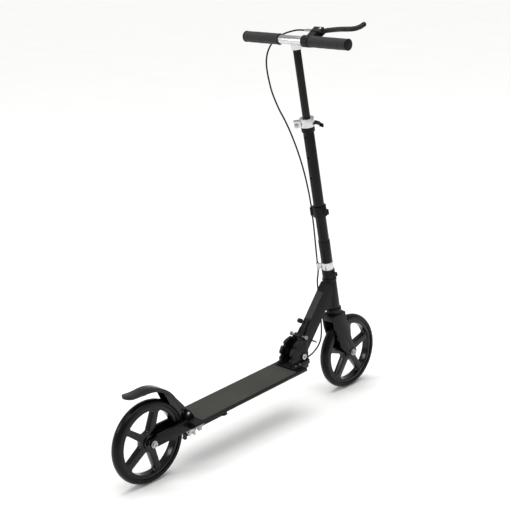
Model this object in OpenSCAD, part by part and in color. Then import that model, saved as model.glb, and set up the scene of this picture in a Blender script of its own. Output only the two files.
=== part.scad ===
// Folding kick scooter with large wheels, a T-bar on a telescopic stem, a hand brake and a foot brake.
// Frame: X forward, Y to the rider's left, Z up; the origin is on the ground, midway between the axles.

/* [Wheels] */
// Outer diameter of both tyres
wheel_d = 230; // [200:1:250]
// Width of both tyres
tyre_w = 30; // [27:1:33]
// Tyre thickness from rim to tread
tyre_t = 16; // [12:1:18]
// Distance between the two axles
wheelbase = 804; // [780:1:830]
// Number of spokes in a wheel
spoke_count = 5; // [4:1:6]
// Width of a spoke at its middle
spoke_w = 17; // [13:1:20]

/* [Deck] */
// Width of the deck
deck_w = 105; // [95:1:130]
// Thickness of the deck extrusion
deck_t = 17; // [15:1:19]
// Front end of the deck, ahead of the rear axle
deck_front = 565; // [555:1:568]
// Height of the standing surface above the rear axle
deck_rise = 14.5; // [12:0.5:18]
// Upward tilt of the deck towards the front
deck_pitch = 2; // [0:0.5:3]
// Thickness of the grip tape
tape_t = 1; // [0.8:0.1:1.5]

/* [Folding joint] */
// Fold pivot, ahead of the rear axle
pivot_x = 580; // [572:1:588]
// Fold pivot above the rear axle line
pivot_z = 38; // [37:0.5:42]
// Width of the neck beam
neck_w = 30; // [28:1:32]
// Depth of the neck beam
neck_d = 40; // [36:1:42]
// Thickness of each bracket cheek
cheek_t = 10; // [6:1:12]

/* [Steering] */
// Backward lean of the stem
stem_lean = 9.5; // [8:0.5:12]
// Front axle ahead of the steering axis
fork_offset = 32.6; // [28:0.2:36]
// Outer diameter of the lower stem tube
lower_d = 31.8; // [30:0.2:34]
// Outer diameter of the upper stem tube
upper_d = 22.2; // [20:0.2:23]
// Outer diameter of the head tube
head_d = 40; // [39:0.5:44]
// Height of the handlebar along the stem, above the axle foot
bar_s = 988; // [960:1:1020]

/* [Handlebar] */
// Overall width of the handlebar
bar_w = 378; // [350:1:420]
// Diameter of the handlebar tube
bar_d = 25.4; // [24:0.2:26]
// Outer diameter of the foam grips
grip_d = 31; // [30:0.5:34]
// Length of each foam grip
grip_l = 128; // [110:1:130]

/* [Cable] */
// Outer diameter of the brake cable housing
cable_d = 4.8; // [4:0.2:5]

/* [Hidden] */

$fn = 48;
EPS = 0.01;
slip = 0.1;
run = 0.05;
gap = 0.5;
wheel_r = wheel_d / 2;
bar_r = bar_d / 2;
grip_r = grip_d / 2;
cable_r = cable_d / 2;
lower_r = lower_d / 2;
upper_r = upper_d / 2;
head_r = head_d / 2;

calliper = [wheel_r + 12, -25];

// ---- frames ----
function turn(v, a) = [v[0] * cos(a) + v[1] * sin(a), -v[0] * sin(a) + v[1] * cos(a)];
axle_z = wheel_r;
rear_x = -wheelbase / 2;
front_x = wheelbase / 2;
pivot_at = [rear_x, axle_z] + turn([pivot_x, pivot_z], -deck_pitch);
head_joint_s = wheel_r + 136;
stem_foot = [front_x, axle_z] + turn([-fork_offset, 0], -stem_lean);
head_joint = stem_foot + turn([0, head_joint_s], -stem_lean);
neck_l = norm(head_joint - pivot_at);
neck_lean = atan2(head_joint[0] - pivot_at[0], head_joint[1] - pivot_at[1]);
function stem_point(p) =
    let (q = stem_foot + turn([p[0], p[2]], -stem_lean)) [q[0], p[1], q[1]];
function deck_point(p) =
    let (q = [rear_x, axle_z] + turn([p[0], p[2]], -deck_pitch)) [q[0], p[1], q[1]];

module on_deck() { translate([rear_x, 0, axle_z]) rotate([0, -deck_pitch, 0]) children(); }
module on_neck() { translate([pivot_at[0], 0, pivot_at[1]]) rotate([0, neck_lean, 0]) children(); }
module on_stem() { translate([stem_foot[0], 0, stem_foot[1]]) rotate([0, -stem_lean, 0]) children(); }
module on_bar() { on_stem() translate([0, 0, bar_s]) children(); }
// a profile drawn in X and Z, made thickness t deep and centred on Y = y
module side(t, y = 0) { translate([0, y + t / 2, 0]) rotate([90, 0, 0]) linear_extrude(t) children(); }
// a rod of radius r along Y, from y0 to y1
module rod_y(r, y0, y1) { translate([0, y1, 0]) rotate([90, 0, 0]) cylinder(r = r, h = y1 - y0); }
module rod_x(r, x0, x1) { translate([x0, 0, 0]) rotate([0, 90, 0]) cylinder(r = r, h = x1 - x0); }
module tube(ro, ri, h) { rotate_extrude() translate([ri, 0]) square([ro - ri, h]); }
module ring(ro, ri, z0, z1) { translate([0, 0, z0]) tube(ro, ri, z1 - z0); }

// ---- cable: one round tube through a list of points ----
function spline(p, i, t) =
    let (n = len(p), a = p[max(i - 1, 0)], b = p[i], c = p[min(i + 1, n - 1)], d = p[min(i + 2, n - 1)])
    0.5 * (2 * b + (c - a) * t + (2 * a - 5 * b + 4 * c - d) * t * t + (3 * b - a - 3 * c + d) * t * t * t);
function smooth(p, k) =
    concat([for (i = [0 : len(p) - 2]) for (j = [0 : k - 1]) spline(p, i, j / k)], [p[len(p) - 1]]);
function unit(v) = v / norm(v);
function heading(q, i) = unit(q[min(i + 1, len(q) - 1)] - q[max(i - 1, 0)]);
module cable(q, r, up) {
    sides = 8;
    n = len(q);
    pts = [for (i = [0 : n - 1])
        let (t = heading(q, i), u = unit(cross(t, up)), v = cross(t, u))
        for (j = [0 : sides - 1]) q[i] + r * (u * cos(j * 360 / sides) + v * sin(j * 360 / sides))];
    walls = [for (i = [0 : n - 2]) for (j = [0 : sides - 1])
        let (a = i * sides + j, b = i * sides + (j + 1) % sides) [a, a + sides, b + sides, b]];
    ends = [[for (j = [0 : sides - 1]) j], [for (j = [sides - 1 : -1 : 0]) (n - 1) * sides + j]];
    polyhedron(pts, concat(walls, ends));
}

// ---- wheels ----
rim_r = wheel_r - tyre_t;
rim_ring = 11;
rim_w = tyre_w - 4;
web_w = 18;
hub_r = 21;
hub_w = 28;
window_r = rim_r - rim_ring;
window_c = 7;
window_in = 27;
tyre_crown = 19;
wheel_turn = 18;
rear_turn = 38;
key_h = 3;
key_w = 10;
axle_d = 8;
bearing_r = 11;
bearing_w = 7;
race_r = 6.2;
shield_r = 6.8;
outer_race = 9.2;

module window() {
    rp = window_r - window_c;
    ri = window_in + window_c;
    half = 180 / spoke_count;
    ao = half - asin((spoke_w / 2 + window_c) / rp);
    ai = half - asin(min(0.9, (spoke_w / 2 + 1.5 + window_c) / ri));
    po = rp * [cos(ao), sin(ao)];
    pi2 = ri * [cos(ai), sin(ai)];
    e = unit(po - pi2);
    n = window_c * [-e[1], e[0]];
    flip = [[1, 0], [0, -1]];
    q = [po + n, pi2 + n, pi2 - [window_c, 0]];
    polygon(concat(q, [for (i = [2 : -1 : 0]) flip * q[i]]));
    for (p = [po, flip * po, pi2, flip * pi2]) translate(p) circle(window_c);
    intersection() {
        difference() {
            circle(window_r, $fn = 96);
            circle(po[0] - 2 * window_c);
        }
        polygon([[0, 0], 2 * po, flip * po * 2]);
    }
}

// rim ring, web with spokes and hub, cast in one
module rim() {
    difference() {
        union() {
            rotate_extrude($fn = 96) polygon([
                [window_r, -rim_w / 2 + 2], [window_r + 2, -rim_w / 2], [rim_r, -rim_w / 2],
                [rim_r, -key_w / 2], [rim_r + key_h, -key_w / 2], [rim_r + key_h, key_w / 2],
                [rim_r, key_w / 2], [rim_r, rim_w / 2], [window_r + 2, rim_w / 2],
                [window_r, rim_w / 2 - 2]]);
            translate([0, 0, -web_w / 2]) linear_extrude(web_w) difference() {
                circle(window_r + 1, $fn = 96);
                for (i = [0 : spoke_count - 1]) rotate(i * 360 / spoke_count) window();
            }
            cylinder(r = hub_r, h = hub_w, center = true);
        }
        cylinder(r = bearing_r - 1, h = hub_w + 1, center = true);
        for (s = [-1, 1]) translate([0, 0, s * (hub_w / 2 - bearing_w / 2 + gap)])
            cylinder(r = bearing_r, h = bearing_w + 2 * gap, center = true);
    }
}
// tyre, keyed on to the rim
module tyre() {
    crown = tyre_crown;
    rotate_extrude($fn = 96) difference() {
        intersection() {
            translate([rim_r, -tyre_w / 2]) square([tyre_t, tyre_w]);
            translate([wheel_r - crown, 0]) circle(crown);
        }
        translate([rim_r - 1, -key_w / 2]) square([key_h + 1, key_w]);
    }
}
// outer bearing races with their shields
module bearings() {
    for (s = [0, 1]) mirror([0, 0, s]) translate([0, 0, hub_w / 2 - bearing_w]) {
        tube(bearing_r, outer_race, bearing_w);
        ring(outer_race, shield_r, bearing_w - 0.8, bearing_w - 0.2);
    }
}
module at_wheel(x) { translate([x, 0, axle_z]) rotate([90, x > 0 ? wheel_turn : rear_turn, 0]) children(); }
module front_rim() color("#1a1a1a") at_wheel(front_x) rim();
module front_tyre() color("#111111") at_wheel(front_x) tyre();
module front_bearings() color("#9a9a9a") at_wheel(front_x) bearings();
module rear_rim() color("#1a1a1a") at_wheel(rear_x) rim();
module rear_tyre() color("#111111") at_wheel(rear_x) tyre();
module rear_bearings() color("#9a9a9a") at_wheel(rear_x) bearings();

// inner races and the tube between them, and the spacers out to the legs
module sleeve(half) rotate([90, 0, 0]) translate([0, 0, -half]) tube(race_r, axle_d / 2 + slip, 2 * half);
// an axle bolt with a domed head on the right and a nut on the left
module axle_bolt(half) {
    rod_y(axle_d / 2, -half, half + 6);
    translate([0, -half, 0]) rod_y(10, -1.5, 0);
    translate([0, -half - 1.5, 0]) difference() {
        rod_y(7.5, -5, 0);
        translate([0, -6, 0]) rotate([-90, 0, 0]) cylinder(r = 3.5, h = 4, $fn = 6);
    }
    translate([0, half, 0]) difference() {
        rod_y(10, 0, 1.5);
        rod_y(axle_d / 2, -1, 3);
    }
    translate([0, half + 1.5, 0]) difference() {
        rotate([-90, 0, 0]) cylinder(r = 7.5, h = 6, $fn = 6);
        rod_y(axle_d / 2, -1, 8);
    }
}

// ---- deck ----
deck_rear = wheel_r + 7;
board_top = deck_rise - tape_t;
board_bottom = board_top - deck_t;
wall = 2.5;
arm_in = 20;
arm_t = 7;
arm_out = arm_in + arm_t;
plug_t = 3;
bay = 16;
tang_h = deck_t - 2 * wall;
board_l = deck_front - deck_rear - 2 * plug_t;
lip = 8;

module deck_outline() polygon([
    [-deck_w / 2, board_top - 1.5], [-deck_w / 2 + 1.5, board_top], [deck_w / 2 - 1.5, board_top],
    [deck_w / 2, board_top - 1.5], [deck_w / 2, board_top - lip], [deck_w / 2 - 13, board_bottom],
    [-deck_w / 2 + 13, board_bottom], [-deck_w / 2, board_top - lip]]);
module along_deck(x0, x1) translate([x0, 0, 0]) rotate([90, 0, 90]) linear_extrude(x1 - x0) children();

module deck_board() color("#1d1d1b") on_deck() difference() {
    along_deck(deck_rear + plug_t, deck_front - plug_t) difference() {
        deck_outline();
        // three hollow bays with ribs between them
        translate([-bay, board_bottom + wall]) square([2 * bay, tang_h]);
        for (s = [0, 1]) mirror([s, 0]) translate([bay + 2, board_bottom + wall])
            square([deck_w / 2 - 13 - bay - 2, tang_h]);
    }
    // the cable leaves through a slot in the floor
    translate([188, 0, board_bottom - 1]) cube([36, 14, wall + 2]);
    for (p = screw_spots) translate([p[0], p[1], board_bottom - 1]) cylinder(d = 5.2, h = wall + 2);
    for (p = base_screws) translate([p[0], p[1], board_top - wall - 1]) cylinder(d = 5.2, h = wall + 2);
}
screw_spots = [for (x = [140, 185]) for (s = [-1, 1]) [x, s * (arm_in + arm_t / 2)]];

module deck_plugs() color("#111111") on_deck() {
    difference() {
        along_deck(deck_front - plug_t, deck_front) deck_outline();
        translate([0, entry[1], entry[2]]) rod_x(cable_r + 0.6, deck_front - 2 * plug_t, deck_front + 1);
    }
    difference() {
        along_deck(deck_rear, deck_rear + plug_t) deck_outline();
        for (s = [0, 1]) mirror([0, s, 0]) translate([deck_rear - 1, arm_in - slip, board_bottom - 1])
            cube([plug_t + 2, arm_t + 2 * slip, deck_t - wall + 1 + slip]);
    }
}

module grip_tape() color("#45463f") on_deck() translate([0, 0, board_top]) linear_extrude(tape_t) {
    c = 5;
    w = deck_w - 8;
    x0 = 152;
    x1 = base_x0 - 1;
    translate([x0 + c, -w / 2]) square([x1 - x0 - 2 * c, w]);
    translate([x0, -w / 2 + c]) square([x1 - x0, w - 2 * c]);
    for (x = [x0 + c, x1 - c]) for (y = [-w / 2 + c, w / 2 - c]) translate([x, y]) circle(c);
}

// rear arms: plates that hold the axle and run into the deck bays
arm_top = 20;
arm_low = -11;
module arm(s) on_deck() difference() {
    side(arm_t, s * (arm_in + arm_t / 2)) difference() {
        union() {
            circle(-arm_low);
            polygon([[0, arm_low], [146, arm_low], [146, board_bottom - slip],
                [deck_rear - slip, board_bottom - slip], [deck_rear - slip, board_bottom + wall + slip],
                [200, board_bottom + wall + slip], [200, board_top - wall - slip],
                [deck_rear - slip, board_top - wall - slip], [deck_rear - slip, arm_top - 4],
                [deck_rear - 4 - slip, arm_top], [22, arm_top], [-4, 10.2]]);
        }
        circle(axle_d / 2 + slip);
    }
    for (p = screw_spots) translate([p[0], p[1], arm_low - 1]) cylinder(d = 4.2, h = 20);
    for (x = [140]) translate([x, s * (arm_in + arm_t / 2), arm_low - 1])
        cylinder(d = 5.2, h = board_bottom - arm_low + 1);
}
module arms() color("#34352f") for (s = [-1, 1]) arm(s);
module deck_screws() color("#8a8a8a") on_deck() {
    for (p = screw_spots) {
        head = p[0] < 150 ? arm_low : board_bottom;
        translate([p[0], p[1], head]) cylinder(d = 4, h = 4 + tang_h / 2 + board_bottom - head);
        translate([p[0], p[1], head - 2.5]) difference() {
            cylinder(d = 8, h = 2.5);
            translate([0, 0, -1]) cylinder(d = 4.6, h = 2.2, $fn = 6);
        }
    }
    // the four that hold the folding bracket
    for (p = base_screws) {
        translate([p[0], p[1], board_top - 4]) cylinder(d = 5, h = base_t + 7);
        translate([p[0], p[1], board_top + base_t + 3]) difference() {
            cylinder(d = 8.4, h = 3.5);
            translate([0, 0, 1.5]) cylinder(d = 4.6, h = 3, $fn = 6);
        }
    }
}
module rear_axle() color("#c9c9c9") on_deck() axle_bolt(arm_out);
module rear_sleeve() color("#8a8a8a") on_deck() sleeve(arm_in);

// ---- folding bracket ----
base_x0 = 526;
base_x1 = 597;
base_t = 5.5;
cheek_in = neck_w / 2 + gap;
cheek_out = cheek_in + cheek_t;
base_screws = [for (x = [538, 556]) for (s = [-1, 1]) [x, s * (cheek_out + 4.6)]];
rim_of_cheek = 52;
pin_r = 4;
pin_off = 28;
pin_home = 39.6;
pin_lift = 10;
knob_up = 44;
knob_x = 25.2;
rail_z0 = 56;
rail_z1 = 76;
pad_z0 = 106;
pad_z1 = 196;
rib_n = 12;
fold_max = 86;
fold_mid = 49;
entry = [594, 8, 5];

module bracket_base() color("#101010") on_deck() difference() {
    union() {
        translate([base_x0, -34, board_top]) cube([base_x1 - base_x0, 68, base_t]);
        // nose block that closes the front of the deck
        side(58) polygon([[deck_front + slip, board_bottom], [base_x1 - 14, board_bottom], [base_x1, 2],
            [base_x1, board_top + 1], [deck_front + slip, board_top + 1]]);
        // feet that carry the cheeks
        for (s = [-1, 1]) translate([base_x0 + 4, s * (cheek_out + 4) - 4 + slip * s, board_top])
            cube([base_x1 - base_x0 - 4, 8, base_t + 7]);
    }
    translate([0, entry[1], entry[2]]) rod_x(cable_r + 0.6, deck_front - 1, base_x1 + 1);
    for (p = base_screws) translate([p[0], p[1], board_top - 1]) cylinder(d = 5.2, h = base_t + 9);
    for (p = base_screws) translate([p[0], p[1], board_top + base_t + 3]) cylinder(d = 8.6, h = 6);
}
// one notch of the lock, at the pin's home place turned with the neck by the fold angle
module notch(fold) rotate(fold) rotate(90 - neck_lean - deck_pitch) {
    translate([pin_home, pin_off]) circle(pin_r + 0.3);
    translate([pin_home, pin_off - pin_r - 0.3]) square([40, 2 * (pin_r + 0.3)]);
}
module cheek(s) on_deck() side(cheek_t, s * (cheek_in + cheek_t / 2)) difference() {
    translate([pivot_x, pivot_z]) difference() {
        intersection() {
            union() {
                circle(rim_of_cheek);
                translate([-50, -rim_of_cheek]) square([72, rim_of_cheek]);
            }
            translate([-50, -(pivot_z - board_top - base_t - slip)]) square([72, 2 * rim_of_cheek]);
        }
        circle(5 + slip);
        notch(0);
        notch(fold_mid);
        notch(fold_max);
    }
}
module cheeks() color("#141414") for (s = [-1, 1]) cheek(s);
module pivot_bolt() color("#c9c9c9") on_deck() translate([pivot_x, 0, pivot_z]) {
    rod_y(5, -cheek_out, cheek_out + 7);
    translate([0, -cheek_out, 0]) difference() {
        rod_y(8.5, -5.5, 0);
        translate([0, -6, 0]) rotate([-90, 0, 0]) cylinder(r = 4, h = 3.5, $fn = 6);
    }
    translate([0, cheek_out, 0]) difference() {
        rotate([-90, 0, 0]) cylinder(r = 9, h = 7, $fn = 6);
        rod_y(5, -1, 8);
    }
}

// ---- neck ----
barrel_r = 17.5;
beam_z0 = 10;
crown_lo = wheel_r + 15;
crown_hi = crown_lo + 18;
head_lo = crown_hi + 18;
head_hi = head_lo + 92;
head_bore = 17;
module neck_frame() color("#1c1c1c") difference() {
    union() {
        on_neck() {
            rod_y(barrel_r, -neck_w / 2, neck_w / 2);
            difference() {
                translate([-neck_d / 2, -neck_w / 2, beam_z0]) cube([neck_d, neck_w, neck_l - beam_z0]);
                translate([-neck_d / 2 + 3, -neck_w / 2 + 3, 26])
                    cube([neck_d - 6, neck_w - 6, neck_l - 26 - head_r - 8]);
                // hole for the plunger
                translate([0, plunger_y, plunger_z]) rod_x(3.3, 10, neck_d);
            }
        }
        // gusset under the beam
        side(neck_w - 8) polygon([
            pivot_at + turn([neck_d / 2 - 2, 150], neck_lean),
            pivot_at + turn([neck_d / 2 - 2, neck_l - 6], neck_lean),
            stem_foot + turn([-4, 214], -stem_lean), stem_foot + turn([-4, head_lo + 6], -stem_lean)]);
        on_stem() ring(head_r, head_bore, head_lo, head_hi);
    }
    on_stem() translate([0, 0, head_lo - 30]) cylinder(r = head_bore, h = head_hi - head_lo + 90);
    on_neck() rod_y(5 + run, -neck_w, neck_w);
    on_stem() translate([0, 0, head_hi]) cylinder(r = 60, h = 40);
}
plunger_y = -6;
plunger_z = 58;

// ribbed rubber pad on the back of the beam
module neck_pad() color("#262626") on_neck() translate([-neck_d / 2, 0, 0]) {
    translate([-1.6, -12, pad_z0]) cube([1.6, 24, pad_z1 - pad_z0]);
    for (i = [0 : rib_n - 1]) translate([-2.6, -11, pad_z0 + 2 + i * (pad_z1 - pad_z0) / rib_n])
        cube([2.6, 22, 3.6]);
}
// two rails that guide the lock slide
rail_in = 7.3;
module lock_rail() color("#141414") on_neck() for (s = [0, 1]) mirror([0, s, 0]) {
    translate([-neck_d / 2 - 5.5, rail_in, rail_z0]) cube([5.5, 3.5, rail_z1 - rail_z0]);
    translate([-neck_d / 2 - 7.5, rail_in - 2.5, rail_z0]) cube([2, 6, rail_z1 - rail_z0]);
}
module lock_slide() color("#2e2e2e") on_neck() translate([0, 0, pin_lift]) {
    translate([-neck_d / 2 - 5, gap - rail_in, pin_home + 4]) cube([4.4, 2 * (rail_in - gap), knob_up + 4]);
    difference() {
        translate([-pin_off - 7, -12, pin_home - 5]) cube([pin_off + 7 - neck_d / 2 - 2.2, 24, 11]);
        translate([-pin_off, 0, pin_home]) rod_y(pin_r, -20, 20);
    }
    // thumb knob at the left rear edge
    translate([-knob_x, 0, pin_home + knob_up]) {
        rod_y(4.2, 3, neck_w / 2 + 1);
        rod_y(7, neck_w / 2 + 0.6, neck_w / 2 + 12);
    }
}
module lock_pin() color("#9a9a9a") on_neck() translate([-pin_off, 0, pin_home + pin_lift]) {
    rod_y(pin_r, -cheek_out - 2, cheek_out + 2);
    for (s = [0, 1]) mirror([0, s, 0]) translate([0, cheek_out + gap, 0]) difference() {
        rod_y(6, 0, 5);
        rod_y(pin_r, -1, 2 - gap);
    }
}
// spring plunger in the front wall of the beam
module pull_pin() color("#c9c9c9") on_neck() translate([0, plunger_y, plunger_z]) {
    rod_x(3, 11, neck_d / 2 + 6);
    rod_x(4.5, neck_d / 2 + 0.5, neck_d / 2 + 4);
    translate([neck_d / 2 + 7, 0, 0]) {
        rod_y(2.6, -18, 5);
        for (y = [-18, 6]) translate([0, y, 0]) sphere(3.4);
    }
}
clip_y = neck_w / 2 + cable_r + 0.8;
clip_s = [-36, clip_y, head_hi - 58];
module cable_clip() color("#141414") translate(stem_point(clip_s)) rotate([0, -stem_lean - 12, 0])
    difference() {
        translate([-4, neck_w / 2 - clip_y, -6]) cube([8, 2 * cable_r + 3, 12]);
        translate([0, 0, -8]) cylinder(r = cable_r + slip, h = 16);
    }

// ---- headset ----
module head_cups() color("#141414") on_stem() {
    for (e = [[head_lo - 15, head_lo, 23], [head_hi, head_hi + 8, 21.5]]) {
        ring(e[2], 14.5, e[0], e[1]);
    }
}
module head_bearings() color("#8a8a8a") on_stem() {
    for (z = [head_lo, head_hi - 8]) ring(head_bore, 12.75, z, z + 8);
}

// ---- fork ----
steerer_r = 12.7;
leg_in = 18;
leg_t = 7;
leg_out = leg_in + leg_t;
crown_x0 = -30;
crown_x1 = 22;
module fork_crown() color("#151515") on_stem() {
    difference() {
        translate([crown_x0, -leg_in, crown_lo])
            cube([crown_x1 - crown_x0, 2 * leg_in, crown_hi - crown_lo]);
        translate([0, 0, crown_lo - 1]) cylinder(r = steerer_r, h = 30);
    }
    ring(19, steerer_r, crown_hi, crown_hi + 2.4);
}
module leg(s) on_stem() side(leg_t, s * (leg_in + leg_t / 2)) difference() {
    union() {
        translate([fork_offset, 0]) circle(16.5);
        polygon([[crown_x0, crown_hi], [crown_x1, crown_hi], [crown_x1 + 2, crown_hi - 28],
            [fork_offset + 3, 46], [fork_offset + 16, 3], [fork_offset + 4, -15.5],
            [fork_offset - 16, -6], [-14, 38], [-24, 78], [crown_x0 + 1, crown_lo - 26]]);
    }
    translate([fork_offset, 0]) circle(axle_d / 2 + slip);
}
module fork_legs() color("#1a1a1a") for (s = [-1, 1]) leg(s);
steerer_top = head_hi + 128;
module steerer_tube() color("#3a3a3a") on_stem() ring(steerer_r, 10.5, crown_lo, steerer_top);
module front_axle() color("#c9c9c9") translate([front_x, 0, axle_z]) axle_bolt(leg_out);
module front_sleeve() color("#8a8a8a") translate([front_x, 0, axle_z]) sleeve(leg_in);

// ---- lower stem ----
clamp_lo = head_hi + 8.4;
clamp_hi = clamp_lo + 27.6;
guide_hi = clamp_hi + 24;
sleeve_hi = guide_hi + 70;
tube_hi = 741;
hole_step = 61;
button_s = 711;
cable_at = [-12, lower_r + 4.1];
guide_at = [-17, lower_r + 7.1];
module stem_sleeve() color("#191919") on_stem() {
    ring(lower_r + sleeve_t, lower_r, guide_hi, sleeve_hi);
}
module lower_tube() color("#121212") on_stem() difference() {
    ring(lower_r, steerer_r, clamp_lo + 0.4, tube_hi);
    // height holes at the back
    for (i = [0 : 2]) translate([0, 0, button_s - i * hole_step]) rod_x(3.2, -20, 0);
}
module clamp_collar() color("#141414") on_stem() difference() {
    union() {
        ring(lower_r + clamp_t, lower_r, clamp_lo, clamp_hi);
        translate([-7, -lower_r - 13.1, clamp_lo + 8]) cube([14, 13, 11]);
    }
    translate([0, 0, clamp_lo - 1]) cylinder(r = lower_r, h = 40);
    translate([-1, -lower_r - 14.1, clamp_lo - 1]) cube([2, 16, 40]);
}
module cable_guide() color("#c9c9c9") on_stem() difference() {
    union() {
        ring(lower_r + guide_t, lower_r, clamp_hi, guide_hi);
        translate([guide_at[0], guide_at[1], clamp_hi + 2]) cylinder(r = 4.8, h = 20);
        // web out to the eye
        rotate([0, 0, atan2(guide_at[1], guide_at[0])]) translate([lower_r + 1, -3, clamp_hi + 4])
            cube([norm(guide_at) - lower_r - 1, 6, 16]);
    }
    translate([guide_at[0], guide_at[1], clamp_hi - 1]) cylinder(r = cable_r + slip, h = 40);
}
clip_lo = 466;
sleeve_t = 1.4;
clamp_t = 3.6;
guide_t = 1.7;
clip_t = 4.5;
collar_t = 3.3;
clip_hi = 498;
module stem_clip() color("#161616") on_stem() difference() {
    union() {
        ring(lower_r + clip_t, lower_r, clip_lo, clip_hi);
        translate([cable_at[0], cable_at[1], clip_lo + 3]) cylinder(r = 5.4, h = 24);
        translate([-5, -lower_r - 15.1, clip_lo + 8]) cube([10, 13, 16]);
    }
    translate([cable_at[0], cable_at[1], clip_lo - 1]) cylinder(r = cable_r + slip, h = 60);
    translate([0, 0, clip_lo - 1]) cylinder(r = lower_r, h = 60);
    translate([-1, -lower_r - 16.1, clip_lo - 1]) cube([2, 16, 60]);
}
module tube_collar() color("#131313") on_stem() ring(lower_r + collar_t, lower_r, tube_hi - 15, tube_hi);

// ---- height clamp ----
qr_hi = tube_hi + 25;
ear_x = -31;
ear_out = 9;
ear_w = ear_out - 2;
bolt_z = tube_hi + 8;
bolt_r = 2.5;
cam_y = ear_out + 7.1;
cam_r = 6.7;
qr_turn = -45;
handle_z = -14;
module on_clamp() { on_stem() translate([0, 0, bolt_z]) rotate([0, 0, qr_turn]) children(); }
module qr_collar() color("#c4c4c4") difference() {
    union() {
        on_stem() ring(20.5, upper_r + 0.4, tube_hi, qr_hi);
        on_clamp() for (s = [0, 1]) mirror([0, s, 0])
            translate([ear_x - 6, 2, tube_hi + 1 - bolt_z]) cube([20, ear_w, 19]);
    }
    on_stem() translate([0, 0, tube_hi - 1]) cylinder(r = upper_r + 0.4, h = 40);
    on_clamp() translate([ear_x - 10, -2, tube_hi - 1 - bolt_z]) cube([-ear_x + 10, 4, 40]);
    on_clamp() translate([ear_x, 0, 0]) rod_y(bolt_r + slip, -12, 12);
}
// clamp bolt with its nut, and the eye in the cam
module qr_bolt() color("#b0b0b0") on_clamp() translate([ear_x, 0, 0]) {
    rod_y(bolt_r, -ear_out - 6, cam_y - 4);
    translate([0, -ear_out - 5, 0]) rotate([-90, 0, 0]) cylinder(r = 5.5, h = 5, $fn = 6);
    translate([0, cam_y, -6]) cylinder(r = 4, h = 12);
}
// lever with its cam on the left and a handle round the front
module qr_lever() color("#151515") on_clamp() difference() {
    union() {
        difference() {
            translate([ear_x, cam_y, -7]) cylinder(r = cam_r, h = 14);
            translate([ear_x - 20, -40, -20]) cube([40, 40 + ear_out + 0.3, 40]);
        }
        difference() {
            translate([0, 0, handle_z]) linear_extrude(10) intersection() {
                difference() {
                    circle(38);
                    circle(33);
                }
                polygon([[0, 0], [-60, 42], [-60, 90], [90, 90], [90, -8]]);
            }
            translate([ear_x - 20, -40, -20]) cube([24, 40 + ear_out + 0.3, 40]);
        }
        // flared tip
        translate([0, 0, handle_z]) linear_extrude(10) polygon([[33.4, 0], [37.8, 0], [44.5, -11], [41, -13]]);
    }
    // room for the eye of the bolt
    translate([ear_x, cam_y, -6 - run]) cylinder(r = 4 + run, h = 12 + 2 * run);
    // slot that lets the cam turn round the bolt
    translate([ear_x, cam_y, -bolt_r - 0.4]) linear_extrude(2 * bolt_r + 0.8)
        polygon(concat([[0, 0]], [for (a = [-45 : -55 : -265]) 20 * [cos(a), sin(a)]]));
}

// ---- upper stem and handlebar ----
upper_lo = 548;
module upper_tube() color("#1b1916") on_stem() difference() {
    ring(upper_r, upper_r - 1.8, upper_lo, bar_s - bar_r * 0.8);
    translate([0, 0, bar_s]) rod_y(bar_r, -30, 30);
}
module t_bar() color("#d4d4d4") on_bar() {
    difference() {
        union() {
            rod_y(bar_r, -bar_w / 2 + 4, bar_w / 2 - 4);
            translate([0, 0, -24]) cylinder(r = upper_r + 3.2, h = 20);
        }
        rod_y(bar_r - 2, -bar_w, bar_w);
        translate([0, 0, -30]) cylinder(r = upper_r + 0.02, h = 30 - bar_r * 0.8);
    }
    difference() {
        translate([0, 0, -bar_r - 0.4]) cylinder(r = upper_r - 2.2, h = 3);
        rod_y(bar_r - 2, -30, 30);
    }
}
grip_end = bar_w / 2 - 4;
module grips() color("#3b3b3b") on_bar() for (s = [0, 1]) mirror([0, s, 0]) {
    translate([0, grip_end, 0]) rotate([90, 0, 0]) difference() {
        union() {
            cylinder(r = grip_r, h = grip_l);
            translate([0, 0, grip_l - 3]) cylinder(r = grip_r + 1.3, h = 3);
        }
        translate([0, 0, -1]) cylinder(r = bar_r, h = grip_l + 2);
    }
}
module bar_plugs() color("#0e0e0e") on_bar() for (s = [0, 1]) mirror([0, s, 0]) {
    rod_shift = grip_end;
    translate([0, rod_shift, 0]) rod_y(grip_r + 0.4, 0, 4);
    translate([0, rod_shift - 14, 0]) rod_y(bar_r - 2 - slip, 0, 14);
}

// ---- brake lever ----
perch_y = -(grip_end - grip_l) + 2;
perch_w = 24;
lever_tilt = 21;
lever_out = 46;
blade_t = 10;
blade_r = 4.6;
fork_h = 9.2;
lever_pin_y = perch_y - 4;
module on_lever() { on_bar() rotate([0, -lever_tilt, 0]) children(); }
module lever_clamp() color("#333333") difference() {
    union() {
        on_bar() rod_y(16.5, perch_y, perch_y + perch_w);
        // perch: a block forward of the ring with a fork for the blade
        on_lever() translate([12, perch_y + 1, -7.5]) cube([24, perch_w - 2, 15]);
        for (z = [-fork_h, fork_h - 3.6]) on_lever() translate([lever_out - 12, perch_y - 12, z])
            cube([20, perch_w + 10, 3.6]);
        on_lever() translate([lever_out - 12, perch_y + 8, -fork_h]) cube([20, perch_w - 10, 2 * fork_h]);
    }
    on_bar() rod_y(bar_r, -100, 100);
    on_lever() translate([lever_out, lever_pin_y, -12]) cylinder(r = 2.6, h = 24);
    on_lever() translate([lever_out, perch_y + 6, 0]) rod_y(3.1, 0, 30);
}
module lever_pin() color("#c9c9c9") on_lever() translate([lever_out, lever_pin_y, -fork_h - 0.5]) {
    cylinder(r = 2.55, h = 2 * fork_h + 1);
    translate([0, 0, 2 * fork_h + 0.5]) cylinder(r = 4.6, h = 2);
}
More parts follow.
